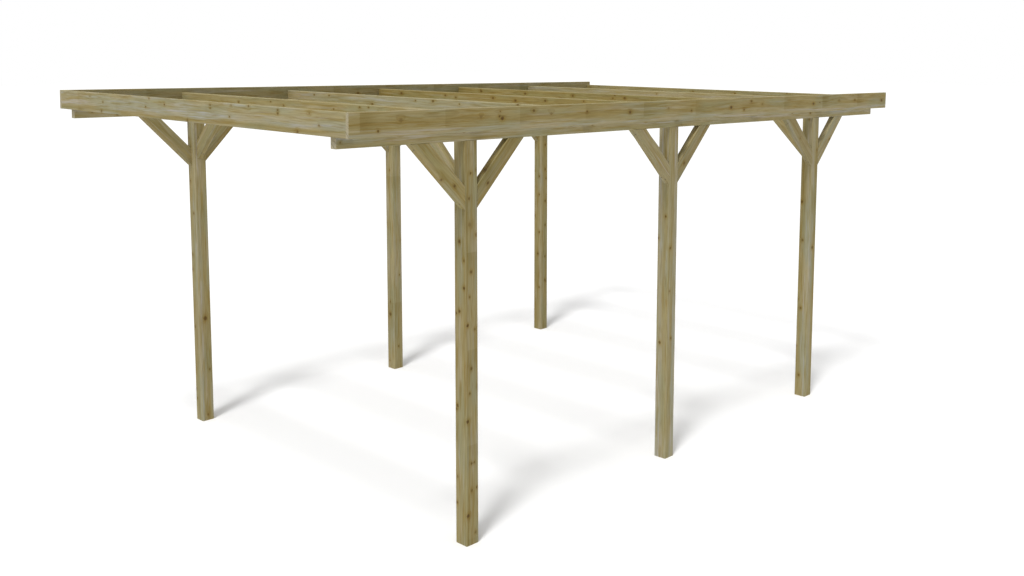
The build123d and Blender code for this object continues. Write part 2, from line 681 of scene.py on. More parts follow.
class Lay(Enum):
    """How a colour lies on the wood: as a stain that darkens or tints it, or as a cover."""

    STAIN = "MULTIPLY"
    COVER = "MIX"


@dataclass(frozen=True)
class Band:
    """A band of tint, from where it crosses the main face, measured up from the middle."""

    place: float
    tint: Tint = Tint.PALE
    width: float = 0.010
    strength: float = 0.8


@dataclass(frozen=True)
class Steps:
    """A row of darker lengths: where one begins, measured along the grain from the frame's middle."""

    begin: float
    length: float = 0.142
    spacing: float = PITCH
    above: float = -1.0
    strength: float = 0.8


@dataclass(frozen=True)
class Look:
    """The wood of one piece: its colour, bands and steps, and the knots on the faces that show most."""

    heartwood: float = 0.3
    # On some pieces that lie in shade the tone also carries painted shade
    tone: float = 1.0
    bands: tuple[Band, ...] = ()
    steps: tuple[Steps, ...] = ()
    main: tuple[Knot, ...] = ()
    front: tuple[Knot, ...] = ()
    # How much of the painted highlight on the corners shows
    worn: float = 0.38


@dataclass
class Timber:
    """One sawn piece of the frame and the way it lay in its log."""

    node: str
    grain: Vector
    face: Vector
    pith: Pair
    look: Look
    knots: list[tuple[Vector, Knot]]
    centre: Vector = field(init=False)
    half: Vector = field(init=False)
    axes: Matrix = field(init=False)

    def __post_init__(self) -> None:
        """Measure the piece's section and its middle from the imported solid."""
        self.grain = self.grain.normalized()
        across = self.grain.cross(self.face)
        self.axes = Matrix((self.face, across, self.grain)).transposed()
        corners = [vertex.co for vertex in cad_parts[self.node].data.vertices]
        spans = [
            (min(corner.dot(axis) for corner in corners), max(corner.dot(axis) for corner in corners))
            for axis in (self.face, across, self.grain)
        ]
        self.centre = self.axes @ Vector([(low + high) / 2 for low, high in spans])
        self.half = Vector([(high - low) / 2 for low, high in spans])

    @property
    def pith_place(self) -> Vector:
        """The pith's place in the section, as shares of its half width and half depth."""
        return Vector((self.pith[0] * self.half.x, self.pith[1] * self.half.y, 0.0))

    @property
    def log_axes(self) -> Matrix:
        """Axes of the log, the first pointing from the pith to the middle of the piece."""
        away = -self.pith_place
        return Matrix.Rotation(math.atan2(away.y, away.x), 3, "Z")

    def in_log(self, at: Vector) -> Vector:
        """Read a point of the frame in the log's own axes."""
        section = self.axes.transposed() @ (at - self.centre)
        return self.log_axes.transposed() @ (section - self.pith_place)

    def ring_of(self, band: Band) -> float:
        """How far from the pith the ring lies that a band keeps to."""
        return (Vector((self.half.x, band.place, 0.0)) - self.pith_place).length


@dataclass(frozen=True)
class TreatedPine:
    """Planed softwood with the faint green of pressure treatment.

    The last tables say how strongly each effect shows in the colour, how much duller it makes the
    surface, and how far it raises it. The seeds keep the rows of one piece apart.
    """

    sapwood: Colour = (0.383, 0.335, 0.179, 1.0)
    heartwood: Colour = (0.304, 0.231, 0.071, 1.0)
    green: Colour = (0.92, 1.0, 1.12, 1.0)
    resin: Colour = (0.82, 0.62, 0.38, 1.0)
    late: Colour = (0.80, 0.74, 0.60, 1.0)
    shade: Colour = (0.80, 0.76, 0.60, 1.0)
    halo: Colour = (0.76, 0.60, 0.20, 1.0)
    knot: Colour = (0.098, 0.050, 0.006, 1.0)
    rim: Colour = (0.078, 0.040, 0.007, 1.0)
    sawn: Colour = (0.447, 0.406, 0.286, 1.0)
    crack: Colour = (0.060, 0.044, 0.024, 1.0)
    # Colour of the painted highlight on the corners, and how far in from a corner it reaches
    worn: Colour = (0.390, 0.348, 0.198, 1.0)
    ring_width: float = 0.0042
    worn_reach: float = 0.0042
    fine_grey: Pair = (0.60, 0.70)
    fibre_grey: Pair = (0.30, 0.85)
    ragged_knots: Pair = (150.0, 1.0)
    roughness: float = 0.76
    specular: float = 0.25
    bump_strength: float = 0.8
    bump_height: float = 0.0006
    shows: ClassVar[dict[str, float]] = {
        "Light": 0.85, "Dark": 0.85, "Cut": 0.8, "Resin": 0.55, "Late": 0.50, "Fleck": 0.4,
        "Rim": 0.35, "Branch": 0.35,
    }
    dulls: ClassVar[dict[str, float]] = {"Late": -0.10, "Heart": -0.14, "Cut": 0.14}
    raises: ClassVar[dict[str, float]] = {"Fibre": 0.35, "Late": 0.30, "Rim": -0.35, "Heart": 0.25, "Crack": -1.6}
    band_seed: ClassVar[float] = 7.0
    knot_seed: ClassVar[float] = 17.0
    step_seed: ClassVar[float] = 29.0

    def base(self, look: Look) -> Colour:
        """A piece's own colour, between sapwood and heartwood.

        Args:
            look: the piece's wood.

        Returns:
            The colour.
        """
        return tuple(
            (light + (dark - light) * look.heartwood) * look.tone
            for light, dark in zip(self.sapwood[:3], self.heartwood[:3])
        ) + (1.0,)

    def make(self, timber: Timber, seed: float) -> bpy.types.Material:
        """Make the finish of one piece.

        Args:
            timber: the piece, with its place in the log.
            seed: a number of its own, so that no two pieces match.

        Returns:
            The finished material.
        """
        material, graph, shader = new_material(f"{TIMBER_SLOT}_{timber.node}")
        section = graph.turn(graph.add("ShaderNodeTexCoord").outputs["Object"], timber.centre, timber.axes)
        known: Terms = {
            "Seed": seed, "Section": section, "Log": graph.turn(section, timber.pith_place, timber.log_axes),
            "Grain": tuple(timber.grain), "Half Width": timber.half.x, "Half Depth": timber.half.y,
            "Reach": self.worn_reach, "Ring Width": self.ring_width,
        }
        known |= LogShape().place(graph, known)
        known["Turn"] = graph.times(known["Angle"], known["Radius"])
        known |= self.knots(graph, timber, known)
        for effect in (GrowthRings(), Streaks(), Fibres(), EndGrain(), ArrisWear()):
            known |= effect.place(graph, known)
        graph.feed(shader.inputs["Base Color"], self.colour(graph, timber, known))
        graph.feed(shader.inputs["Roughness"], self.summed(graph, known, self.roughness, self.dulls))
        shader.inputs["Specular IOR Level"].default_value = self.specular
        height = self.summed(graph, known, 0.0, self.raises)
        terms = {"Strength": self.bump_strength, "Distance": self.bump_height, "Height": height}
        graph.feed(shader.inputs["Normal"], graph.add("ShaderNodeBump", terms).outputs["Normal"])
        return material

    def summed(self, graph: Graph, known: Terms, start: Term, shares: dict[str, float]) -> Term:
        """Add up shares of some effects.

        Args:
            graph: the material's tree.
            known: all that is known at a point.
            start: the number that they are added to.
            shares: the share of each effect, by name.

        Returns:
            The sum.
        """
        for name, share in shares.items():
            start = graph.scaled(known[name], share, start)
        return start

    def colour(self, graph: Graph, timber: Timber, known: Terms) -> Term:
        """Lay the stains and covers over the piece's own colour, one by one.

        Args:
            graph: the material's tree.
            timber: the piece.
            known: all that is known at a point.

        Returns:
            The wood's colour.
        """
        shown = {name: graph.times(known[name], share) for name, share in self.shows.items()}
        fine, fibre = graph.scaled(known["Fine"], *self.fine_grey), graph.scaled(known["Fibre"], *self.fibre_grey)
        grey = graph.times(fine, fibre)
        colour: Term = self.base(timber.look)
        for lay, tint, share in (
            (Lay.STAIN, self.green, known["Patch"]),
            (Lay.STAIN, Tint.PALE.value, shown["Light"]),
            (Lay.STAIN, Tint.BROWN.value, shown["Dark"]),
            *self.bands(graph, timber, known),
            (Lay.COVER, self.sawn, shown["Cut"]),
            (Lay.STAIN, self.resin, shown["Resin"]),
            (Lay.STAIN, self.late, shown["Late"]),
            (Lay.STAIN, self.shade, self.steps(graph, timber, known)),
            (Lay.STAIN, self.late, shown["Fleck"]),
            (Lay.STAIN, self.halo, known["Halo"]),
            (Lay.STAIN, graph.join(grey, grey, grey), 1.0),
            # Painted highlight: the corners are drawn lighter, where light catches them
            (Lay.COVER, self.worn, graph.times(known["Worn"], timber.look.worn)),
            (Lay.COVER, self.knot, known["Heart"]),
            (Lay.COVER, self.rim, shown["Rim"]),
            (Lay.COVER, self.rim, shown["Branch"]),
            (Lay.COVER, self.crack, known["Crack"]),
        ):
            colour = graph.blend(colour, tint, share, lay.value)
        return colour

    def bands(self, graph: Graph, timber: Timber, known: Terms) -> Iterator[tuple[Lay, Colour, Term]]:
        """Place the piece's bands of tint.

        Args:
            graph: the material's tree.
            timber: the piece.
            known: all that is known at a point.

        Returns:
            How each band lies on the wood, its tint and how much of it shows.
        """
        for number, band in enumerate(timber.look.bands):
            own = {"Ring": timber.ring_of(band), "Width": band.width, "Seed": known["Seed"] + self.band_seed * number}
            placed = TintBand().place(graph, known | own)
            yield Lay.STAIN, band.tint.value, graph.times(placed["Band"], band.strength)

    def knots(self, graph: Graph, timber: Timber, known: Terms) -> Terms:
        """Place every row of knots that the piece has and join their shading.

        Args:
            graph: the material's tree.
            timber: the piece.
            known: all that is known at a point.

        Returns:
            The joined outputs of the rows.
        """
        joined: Terms = dict.fromkeys(KnotRow.gives, 0.0)
        wobble = graph.noise(known["Section"], *self.ragged_knots)
        for number, (at, knot) in enumerate(timber.knots):
            place = timber.in_log(at)
            both_ways = knot.count // 2 if knot.uneven else 0
            row = KnotRow().place(graph, known | {
                "Row Angle": math.atan2(place.y, place.x), "First": place.z - both_ways * knot.spacing,
                "Last": knot.count - 1.0, "Spacing": knot.spacing, "Size": knot.size, "Strength": knot.strength,
                "Uneven": knot.uneven, "Wobble": wobble, "Seed": known["Seed"] + self.knot_seed * number,
            })
            for name in joined:
                joined[name] = graph.math("ADD" if name == "Push" else "MAXIMUM", joined[name], row[name])
        return joined

    def steps(self, graph: Graph, timber: Timber, known: Terms) -> Term:
        """Place every row of darker lengths and join their shading.

        Args:
            graph: the material's tree.
            timber: the piece.
            known: all that is known at a point.

        Returns:
            How dark the rows make a point.
        """
        dark: Term = 0.0
        _, across, _ = graph.split(known["Section"])
        for number, row in enumerate(timber.look.steps):
            placed = ToneSteps().place(graph, known | {
                "Across": across, "First": row.begin - timber.centre.dot(timber.grain), "Spacing": row.spacing,
                "Length": row.length, "From": row.above, "Seed": known["Seed"] + self.step_seed * number,
            })
            dark = graph.math("MAXIMUM", dark, graph.times(placed["Dark"], row.strength))
        return dark


@dataclass(frozen=True)
class CoatedSteel:
    """Screw heads with an earth-brown coating, rubbed bright in places.

    The metal and the roughness are given as the change where the coating is rubbed, and the start.
    """

    coat: Colour = (0.150, 0.118, 0.062, 1.0)
    bare: Colour = (0.36, 0.33, 0.27, 1.0)
    rubbing: Pair = (420.0, 2.0)
    rubbed_edge: Pair = (0.56, 0.72)
    metal: Pair = (0.7, 0.2)
    roughness: Pair = (-0.2, 0.55)

    def make(self) -> bpy.types.Material:
        """Make the finish that every screw shares.

        Returns:
            The finished material.
        """
        material, graph, shader = new_material(SCREW_SLOT)
        place = graph.add("ShaderNodeTexCoord").outputs["Object"]
        rubbed = graph.smooth(graph.noise(place, *self.rubbing), *self.rubbed_edge)
        graph.feed(shader.inputs["Base Color"], graph.blend(self.coat, self.bare, rubbed))
        graph.feed(shader.inputs["Metallic"], graph.scaled(rubbed, *self.metal))
        graph.feed(shader.inputs["Roughness"], graph.scaled(rubbed, *self.roughness))
        return material


# Screws


@dataclass(frozen=True)
class ScrewHead:
    """Countersunk head with a star recess, modelled once and copied to each place.

    The rim, the recess and its lip are shares of the radius. The dish and the recess's depth are
    shares of how far the head stands proud.
    """

    name: str
    radius: float
    proud: float = 0.0006
    sides: int = 12
    upright: float = 0.9
    rim: float = 0.10
    dish: float = 0.35
    land: float = 0.32
    star_reach: float = 0.62
    star_pinch: float = 0.70
    recess_reach: float = 0.6
    recess_lip: float = 0.04
    recess_depth: float = 0.95

    def model(self) -> bpy.types.Object:
        """Shape the head at the origin, its bearing face downwards.

        Returns:
            The head, to be copied.
        """
        bpy.ops.object.select_all(action="DESELECT")
        bpy.ops.mesh.primitive_cylinder_add(
            vertices=self.sides, radius=self.radius, depth=2 * self.proud, location=ORIGIN
        )
        head = bpy.context.active_object
        head.name = self.name
        bpy.ops.object.mode_set(mode="EDIT")
        self.select(head, self.looks_up)
        bpy.ops.mesh.inset(thickness=self.radius * self.rim, depth=self.proud * self.dish)
        bpy.ops.mesh.inset(thickness=self.radius * self.land, depth=0.0)
        self.star(head)
        self.select(head, lambda face: self.looks_up(face) and self.in_recess(face))
        bpy.ops.mesh.inset(thickness=self.radius * self.recess_lip, depth=-self.proud * self.recess_depth)
        bpy.ops.mesh.select_all(action="SELECT")
        bpy.ops.mesh.normals_make_consistent(inside=False)
        bpy.ops.object.mode_set(mode="OBJECT")
        return head

    def looks_up(self, face: bmesh.types.BMFace) -> bool:
        """Whether a face looks up, or nearly so."""
        return face.normal.z > self.upright

    def in_recess(self, face: bmesh.types.BMFace) -> bool:
        """Whether all of a face's corners lie within the recess."""
        return all(corner.co.xy.length < self.radius * self.recess_reach for corner in face.verts)

    def star(self, head: bpy.types.Object) -> None:
        """Pull every second corner of the recess inwards, so that it forms a six-pointed star.

        Args:
            head: the head, in edit mode.
        """
        mesh = bmesh.from_edit_mesh(head.data)
        for vertex in mesh.verts:
            inner = vertex.co.z > 0 and vertex.co.xy.length < self.radius * self.star_reach
            turned = round(math.atan2(vertex.co.y, vertex.co.x) / (math.tau / self.sides))
            vertex.select_set(inner and turned % 2 == 0)
        mesh.select_flush_mode()
        bmesh.update_edit_mesh(head.data)
        bpy.ops.transform.resize(value=(self.star_pinch, self.star_pinch, 1.0), center_override=ORIGIN)

    def select(self, head: bpy.types.Object, wanted: Callable[[bmesh.types.BMFace], bool]) -> None:
        """Select the faces that are wanted, and nothing else.

        Args:
            head: the head, in edit mode.
            wanted: whether a face is to be selected.
        """
        mesh = bmesh.from_edit_mesh(head.data)
        for face in mesh.faces:
            face.select_set(False)
        for face in filter(wanted, mesh.faces):
            face.select_set(True)
        bmesh.update_edit_mesh(head.data)


@dataclass(frozen=True)
class ScrewPlace:
    """A point on a face and the way that the face looks."""

    at: Vector
    out: Vector
    spin: float = 0.0

    @property
    def matrix(self) -> Matrix:
        """The turn and move that take a head from the origin to its place."""
        turned = UP.rotation_difference(self.out).to_matrix().to_4x4()
        return Matrix.Translation(self.at) @ turned @ Matrix.Rotation(self.spin, 4, "Z")


@dataclass
class ScrewSet:
    """All the screws of one kind of joint, joined as one piece."""

    name: str
    head: ScrewHead
    finish: bpy.types.Material
    places: list[ScrewPlace] = field(default_factory=list)
    smooth_below: float = math.radians(30)

    def add(self, at: Vector, out: Vector) -> None:
        """Note one more screw, its star turned its own way."""
        spin = random.Random(f"{self.name}{len(self.places)}").uniform(0.0, math.tau)
        self.places.append(ScrewPlace(at.copy(), out.normalized(), spin))

    def build(self) -> None:
        """Copy the head to every place and join the copies, which ride with the frame."""
        pattern = self.head.model()
        copies = []
        for place in self.places:
            copy = bpy.data.objects.new(self.name, pattern.data.copy())
            copy.matrix_world = place.matrix
            bpy.context.scene.collection.objects.link(copy)
            copies.append(copy)
        bpy.data.objects.remove(pattern)
        bpy.ops.object.select_all(action="DESELECT")
        for copy in copies:
            copy.select_set(True)
        bpy.context.view_layer.objects.active = copies[0]
        bpy.ops.object.join()
        joined = bpy.context.active_object
        joined.name = joined.data.name = self.name
        bpy.ops.object.transform_apply(location=True, rotation=True, scale=True)
        bpy.ops.object.shade_smooth_by_angle(angle=self.smooth_below)
        joined.data.materials.clear()
        joined.data.materials.append(self.finish)
        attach(joined, BODY)
        log.info("%s: %d screws", self.name, len(self.places))


# The frame's sub-assemblies


class Hand(Enum):
    """The two long sides of the carport, seen from the front."""

    LEFT = -1
    RIGHT = 1

    @property
    def word(self) -> str:
        """The side's name as the nodes spell it."""
        return self.name.lower()


class Way(Enum):
    """Where a knee brace leads from its post."""

    FORWARD = "forward"
    BACKWARD = "backward"
    INWARD = "inward"

    def away(self, hand: Hand) -> Vector:
        """The direction straight off the post's face."""
        return {Way.FORWARD: -BACK, Way.BACKWARD: BACK, Way.INWARD: RIGHT * -hand.value}[self]


def every_brace() -> Iterator[tuple[str, Way, Vector]]:
    """Go through the knee braces post by post.

    Returns:
        Each brace's node, where it leads and the direction off the post's face.
    """
    for row in ROWS:
        for hand in Hand:
            for way in Way:
                yield f"brace_{row}_{hand.word}_{way.value}", way, way.away(hand)


def middle(node: str) -> Vector:
    """The middle of a node's box."""
    low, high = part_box(node)
    return (low + high) / 2


@dataclass
class SubAssembly:
    """Pieces that are dressed in the same way.

    Knots are drawn for the faces that the photograph hides. They lie away from the piece's ends by a
    share of its size, and their sizes, strengths and spacings fall within the ranges given here.
    """

    pine: TreatedPine
    from_end: ClassVar[float] = 0.35
    knot_size: ClassVar[float] = 0.006
    sizes: ClassVar[Pair] = (0.6, 1.2)
    strengths: ClassVar[Pair] = (0.45, 0.9)
    spacings: ClassVar[Pair] = (0.8, 1.3)
    row_count: ClassVar[int] = 14
    uneven: ClassVar[float] = 0.6
    seeds: ClassVar[Pair] = (3.0, 90.0)

    def build(self) -> None:
        """Dress the pieces, in each sub-assembly's own way."""
        raise NotImplementedError

    def dress(self, timber: Timber) -> None:
        """Give one solid its finish, which stands in for its plain one.

        Args:
            timber: the solid, its look and its knots.
        """
        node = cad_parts[timber.node]
        seed = random.Random(timber.node).uniform(*self.seeds)
        node.data.materials.clear()
        node.data.materials.append(self.pine.make(timber, seed))
        log.info("%s dressed, %d rows of knots", timber.node, len(timber.knots))

    def scattered(self, node: str, faces: Iterable[Vector], spacing: float) -> list[tuple[Vector, Knot]]:
        """Draw rows of knots for faces that the photograph doesn't show.

        Args:
            node: the piece, which also seeds the draw.
            faces: the directions of the faces that get a row each.
            spacing: the usual way between two knots of a row.

        Returns:
            One row for each face.
        """
        draw = random.Random(f"knots {node}")
        low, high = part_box(node)
        rows = []
        for face in faces:
            at = low.copy()
            for axis in range(3):
                inset = (high[axis] - low[axis]) * self.from_end
                at[axis] = draw.uniform(low[axis] + inset, high[axis] - inset)
                if face[axis]:
                    at[axis] = high[axis] if face[axis] > 0 else low[axis]
            size, strength = self.knot_size * draw.uniform(*self.sizes), draw.uniform(*self.strengths)
            far = spacing * draw.uniform(*self.spacings)
            rows.append((at, Knot(0.0, 0.0, size, strength, self.row_count, far, self.uneven)))
        return rows


@dataclass
class Posts(SubAssembly):
    """Six square posts, whose logs had their pith behind and to the left."""

    pith: Pair = (-1.5, 1.4)
    hidden_spacing: float = 0.5
    looks: dict[str, Look] = field(default_factory=lambda: {
        "front_right": Look(
            0.52, 0.98, (Band(-0.040, Tint.BROWN, 0.009, 0.5), Band(0.004, Tint.PALE, 0.016, 0.25)),
            (Steps(-0.0995, above=-0.036, strength=1.0),),
            (
                Knot(0.177, -0.034, 0.0070, 1.0, 3), Knot(0.473, -0.006, 0.0060, 0.7, 4, 0.5405),
                Knot(0.875, -0.018, 0.0055, 0.55, 3), Knot(0.475, 0.013, 0.0050, 0.7),
                Knot(0.325, 0.032, 0.0045, 1.0), Knot(1.816, -0.016, 0.0090, 0.25),
            ),
            (
                Knot(0.236, -0.033, 0.0055, 0.75, 3), Knot(1.468, 0.030, 0.0055, 1.0),
                Knot(1.62, 0.030, 0.0050, 0.5), Knot(0.388, -0.027, 0.0060, 0.35),
            ),
        ),
        "front_left": Look(
            0.32, 0.98, (Band(-0.028, Tint.PALE, 0.015, 0.6), Band(0.004, Tint.BROWN, 0.010, 0.55)), (),
            (Knot(0.773, 0.0, 0.0105, 0.85),), (Knot(0.161, -0.025, 0.0065, 0.45, 4),),
        ),
        "middle_right": Look(
            0.18, 0.98, (Band(0.028, Tint.PALE, 0.012, 0.7), Band(-0.008, Tint.BROWN, 0.009, 0.35)), (),
            (Knot(1.44, -0.022, 0.0055, 0.7), Knot(1.15, -0.022, 0.0050, 0.4)), (Knot(1.65, 0.020, 0.0055, 0.8),),
        ),
        "middle_left": Look(
            0.22, 0.98, (Band(0.045, Tint.PALE, 0.009, 0.6), Band(0.016, Tint.BROWN, 0.014, 0.5)),
            (Steps(-0.0995, strength=0.5),), (), (Knot(0.473, -0.008, 0.0105, 0.8),),
        ),
        "rear_right": Look(
            0.20, 0.98, (Band(-0.022, Tint.PALE, 0.016, 0.5), Band(0.030, Tint.BROWN, 0.010, 0.8)), (),
            (Knot(1.193, 0.0, 0.0070, 1.0),), (Knot(0.166, -0.015, 0.0065, 0.6, 3), Knot(1.55, -0.030, 0.0065, 1.0)),
        ),
        "rear_left": Look(
            0.42, 0.95, (Band(0.012, Tint.BROWN, 0.018, 0.6), Band(-0.042, Tint.PALE, 0.010, 0.8)), (),
            (Knot(0.483, 0.012, 0.0060, 0.8, 4), Knot(0.717, 0.012, 0.0060, 0.8, 3)),
            (Knot(0.417, 0.022, 0.0065, 0.7, 4), Knot(1.325, 0.022, 0.0055, 0.6)),
        ),
    })

    def build(self) -> None:
        """Dress the posts from the front to the rear."""
        for corner, look in self.looks.items():
            node = f"post_{corner}"
            low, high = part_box(node)
            centre = middle(node)
            knots = [(Vector((high.x, centre.y + knot.across, knot.along)), knot) for knot in look.main]
            knots += [(Vector((centre.x + knot.across, low.y, knot.along)), knot) for knot in look.front]
            knots += self.scattered(node, (-RIGHT, BACK), self.hidden_spacing)
            self.dress(Timber(node, UP, RIGHT, self.pith, look, knots))


@dataclass
class Beams(SubAssembly):
    """Two beams along the rows of posts."""

    pith: Pair = (-3.0, 0.5)
    hidden_spacing: float = 0.9
    looks: dict[Hand, Look] = field(default_factory=lambda: {
        Hand.LEFT: Look(0.35, 1.0, (Band(0.010, Tint.PALE, 0.010, 0.6),)),
        Hand.RIGHT: Look(0.14, 1.04, (Band(-0.006, Tint.PALE, 0.008, 0.6), Band(-0.026, Tint.BROWN, 0.008, 0.5))),
    })

    def build(self) -> None:
        """Dress both beams."""
        for hand, look in self.looks.items():
            node = f"beam_{hand.word}"
            knots = self.scattered(node, (RIGHT, -RIGHT, -UP), self.hidden_spacing)
            self.dress(Timber(node, UP_ROOF, RIGHT, self.pith, look, knots))


@dataclass
class Rafters(SubAssembly):
    """Seven rafters across the beams, from the front to the rear."""

    pith: Pair = (-3.2, 0.4)
    hidden_spacing: float = 0.8
    looks: tuple[Look, ...] = (
        Look(0.45),
        Look(0.60, 0.97, (), (), (
            Knot(0.273, 0.037, 0.0065, 0.6, 3), Knot(-1.166, 0.068, 0.0045, 0.9),
            Knot(-0.329, 0.068, 0.0045, 0.9, 2, 0.345), Knot(0.533, 0.015, 0.0055, 0.7),
        )),
        Look(0.32, 1.01, (Band(0.014, Tint.PALE, 0.013, 0.7), Band(-0.020, Tint.BROWN, 0.014, 0.6)), (), (
            Knot(-0.511, 0.060, 0.0060, 0.8),
        )),
        Look(0.95, 0.93, (), (), (Knot(0.340, 0.025, 0.0075, 0.8, 4), Knot(0.038, 0.037, 0.0070, 0.95))),
        Look(0.95, 0.95, (), (), (Knot(0.340, 0.027, 0.0075, 0.8, 4), Knot(-0.522, 0.078, 0.0055, 0.8, 2, 0.624))),
        Look(0.28, 0.97, (Band(0.018, Tint.PALE, 0.013, 0.7), Band(-0.016, Tint.BROWN, 0.012, 0.6)), (), (
            Knot(-0.407, 0.073, 0.0060, 0.7, 2, 0.609),
        )),
        Look(0.25, 0.93, (Band(0.032, Tint.BROWN, 0.010, 0.5),), (), (Knot(-0.274, 0.023, 0.0060, 0.4),)),
    )

    def build(self) -> None:
        """Dress the rafters from the front to the rear."""
        for number, look in enumerate(self.looks, start=1):
            node = f"rafter_{number}"
            low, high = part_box(node)
            knots = [(Vector((knot.along, low.y, high.z - knot.across)), knot) for knot in look.main]
            knots += self.scattered(node, (BACK, UP), self.hidden_spacing)
            self.dress(Timber(node, -RIGHT, -BACK, self.pith, look, knots))


@dataclass
class EdgeBoards(SubAssembly):
    """Boards on edge round the front and the two sides of the roof."""

    pith: Pair = (-6.0, 0.6)
    hidden_spacing: float = 0.7
    front: Look = Look(
        0.32, 0.97, (Band(-0.0125, Tint.PALE, 0.012, 0.9), Band(-0.045, Tint.BROWN, 0.007, 0.8)),
        (Steps(0.49, 0.30, strength=0.35),),
        (
            Knot(-1.146, 0.027, 0.0075, 0.30), Knot(0.740, 0.008, 0.0060, 0.6, 2, 1.089),
            Knot(-0.164, 0.037, 0.0060, 0.85), Knot(1.185, 0.115, 0.0060, 0.55, 3, 1.084),
            Knot(0.351, 0.018, 0.0045, 0.7), Knot(0.351, 0.035, 0.0045, 0.7), Knot(0.568, 0.013, 0.0060, 0.3),
            Knot(1.013, 0.017, 0.0045, 0.7), Knot(1.013, 0.033, 0.0050, 0.7), Knot(1.288, 0.017, 0.0060, 0.3),
        ),
        # The front board gets no painted highlight on its corners
        worn=0.0,
    )
    sides: dict[Hand, Look] = field(default_factory=lambda: {
        # The left board's tone of 0.80 is partly the wood's and partly painted shade: its inner face lies in the
        # roof's shade and is drawn darker
        Hand.LEFT: Look(0.42, 0.80, (Band(-0.045, Tint.PALE, 0.010, 0.6),), (Steps(2.546, 0.146, strength=0.7),)),
        Hand.RIGHT: Look(
            0.48, 0.99, (
                Band(-0.050, Tint.PALE, 0.011, 1.0), Band(0.002, Tint.BROWN, 0.010, 0.8),
                Band(0.045, Tint.PALE, 0.012, 0.2),
            ),
            (Steps(2.546, 0.146, above=-0.034, strength=1.0),),
            (
                Knot(2.639, 0.062, 0.0080, 1.0, 5, 1.0838), Knot(0.717, 0.027, 0.0065, 0.75, 2, 2.170),
                Knot(1.939, 0.048, 0.0080, 0.35, 5, 1.0833), Knot(-1.853, 0.048, 0.0070, 0.35),
                Knot(-1.712, 0.024, 0.0035, 0.7),
            ),
        ),
    })

    def build(self) -> None:
        """Dress the two side boards and the front board."""
        for hand, look in self.sides.items():
            node = f"side_board_{hand.word}"
            low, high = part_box(node)
            knots = []
            for knot in look.main:
                edge = high.z - (knot.along - low.y) * math.tan(ROOF_FALL)
                knots.append((Vector((high.x, knot.along, edge - knot.across)), knot))
            hidden = (-RIGHT,) if look.main else (RIGHT, -RIGHT)
            knots += self.scattered(node, hidden, self.hidden_spacing)
            self.dress(Timber(node, UP_ROOF, RIGHT, self.pith, look, knots))
        low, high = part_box("front_board")
        knots = [(Vector((knot.along, low.y, high.z - knot.across)), knot) for knot in self.front.main]
        knots += self.scattered("front_board", (BACK,), self.hidden_spacing)
        self.dress(Timber("front_board", -RIGHT, -BACK, self.pith, self.front, knots))


@dataclass
class Braces(SubAssembly):
    """Three knee braces at every post: two under the beam and one under the rafter.

    Woods_and_shade holds the heartwood and the tone of the braces that show best, where some tones are partly painted
    shade, and knots the place of the one knot that shows on some of them. The rest is drawn, within the spreads.
    """

    hidden_spacing: float = 0.45
    usual: float = 0.5
    usual_spread: float = 0.15
    band_spread: float = 0.04
    band_widths: Pair = (0.007, 0.013)
    band_strength: float = 0.6
    pith_across: float = -3.0
    pith_spread: float = 0.7
    knot: Knot = Knot(0.0, 0.0, 0.0060, 0.75)
    woods: dict[str, tuple[float, float]] = field(default_factory=lambda: {
        # Tones under 1 on front_right_backward, middle_right_backward, rear_right_forward and rear_left_forward are
        # partly painted shade for the shade under the beam
        "front_right_forward": (0.62, 1.13), "front_right_backward": (0.95, 0.95),
        "middle_right_forward": (0.20, 1.01), "middle_right_backward": (0.42, 0.92),
        "rear_right_forward": (0.50, 0.93), "rear_right_backward": (0.03, 0.98),
        "front_left_forward": (0.50, 1.00), "front_left_backward": (0.72, 1.00),
        "middle_left_forward": (0.47, 0.98), "middle_left_backward": (0.20, 0.92),
        "rear_left_forward": (0.50, 0.92), "rear_left_backward": (0.15, 0.93),
    })
    knots: dict[str, tuple[float, float, float]] = field(default_factory=lambda: {
        "front_right_forward": (1.4775, -1.928, 2.036),
        "front_right_backward": (1.4775, -1.682, 2.029),
        "middle_right_backward": (1.4775, 0.123, 1.993),
    })

    def build(self) -> None:
        """Dress the braces post by post."""
        for node, way, away in every_brace():
            self.dress_one(node, way, away)

    def dress_one(self, node: str, way: Way, away: Vector) -> None:
        """Dress one brace.

        Args:
            node: the brace.
            way: where it leads.
            away: the direction off the post's face, in which it leads up.
        """
        draw = random.Random(node)
        face = -BACK if way is Way.INWARD else RIGHT
        name = node.removeprefix("brace_")
        drawn = self.usual + draw.uniform(-self.usual_spread, self.usual_spread)
        heartwood, tone = self.woods.get(name, (drawn, 1.0))
        bands = tuple(
            Band(
                draw.uniform(-self.band_spread, self.band_spread), tint,
                draw.uniform(*self.band_widths), self.band_strength,
            )
            for tint in Tint
        )
        knots = self.scattered(node, (-face,), self.hidden_spacing)
        if name in self.knots:
            knots.append((Vector(self.knots[name]), self.knot))
        pith = (self.pith_across, draw.uniform(-self.pith_spread, self.pith_spread))
        self.dress(Timber(node, UP + away, face, pith, Look(heartwood, tone, bands), knots))


# Joints


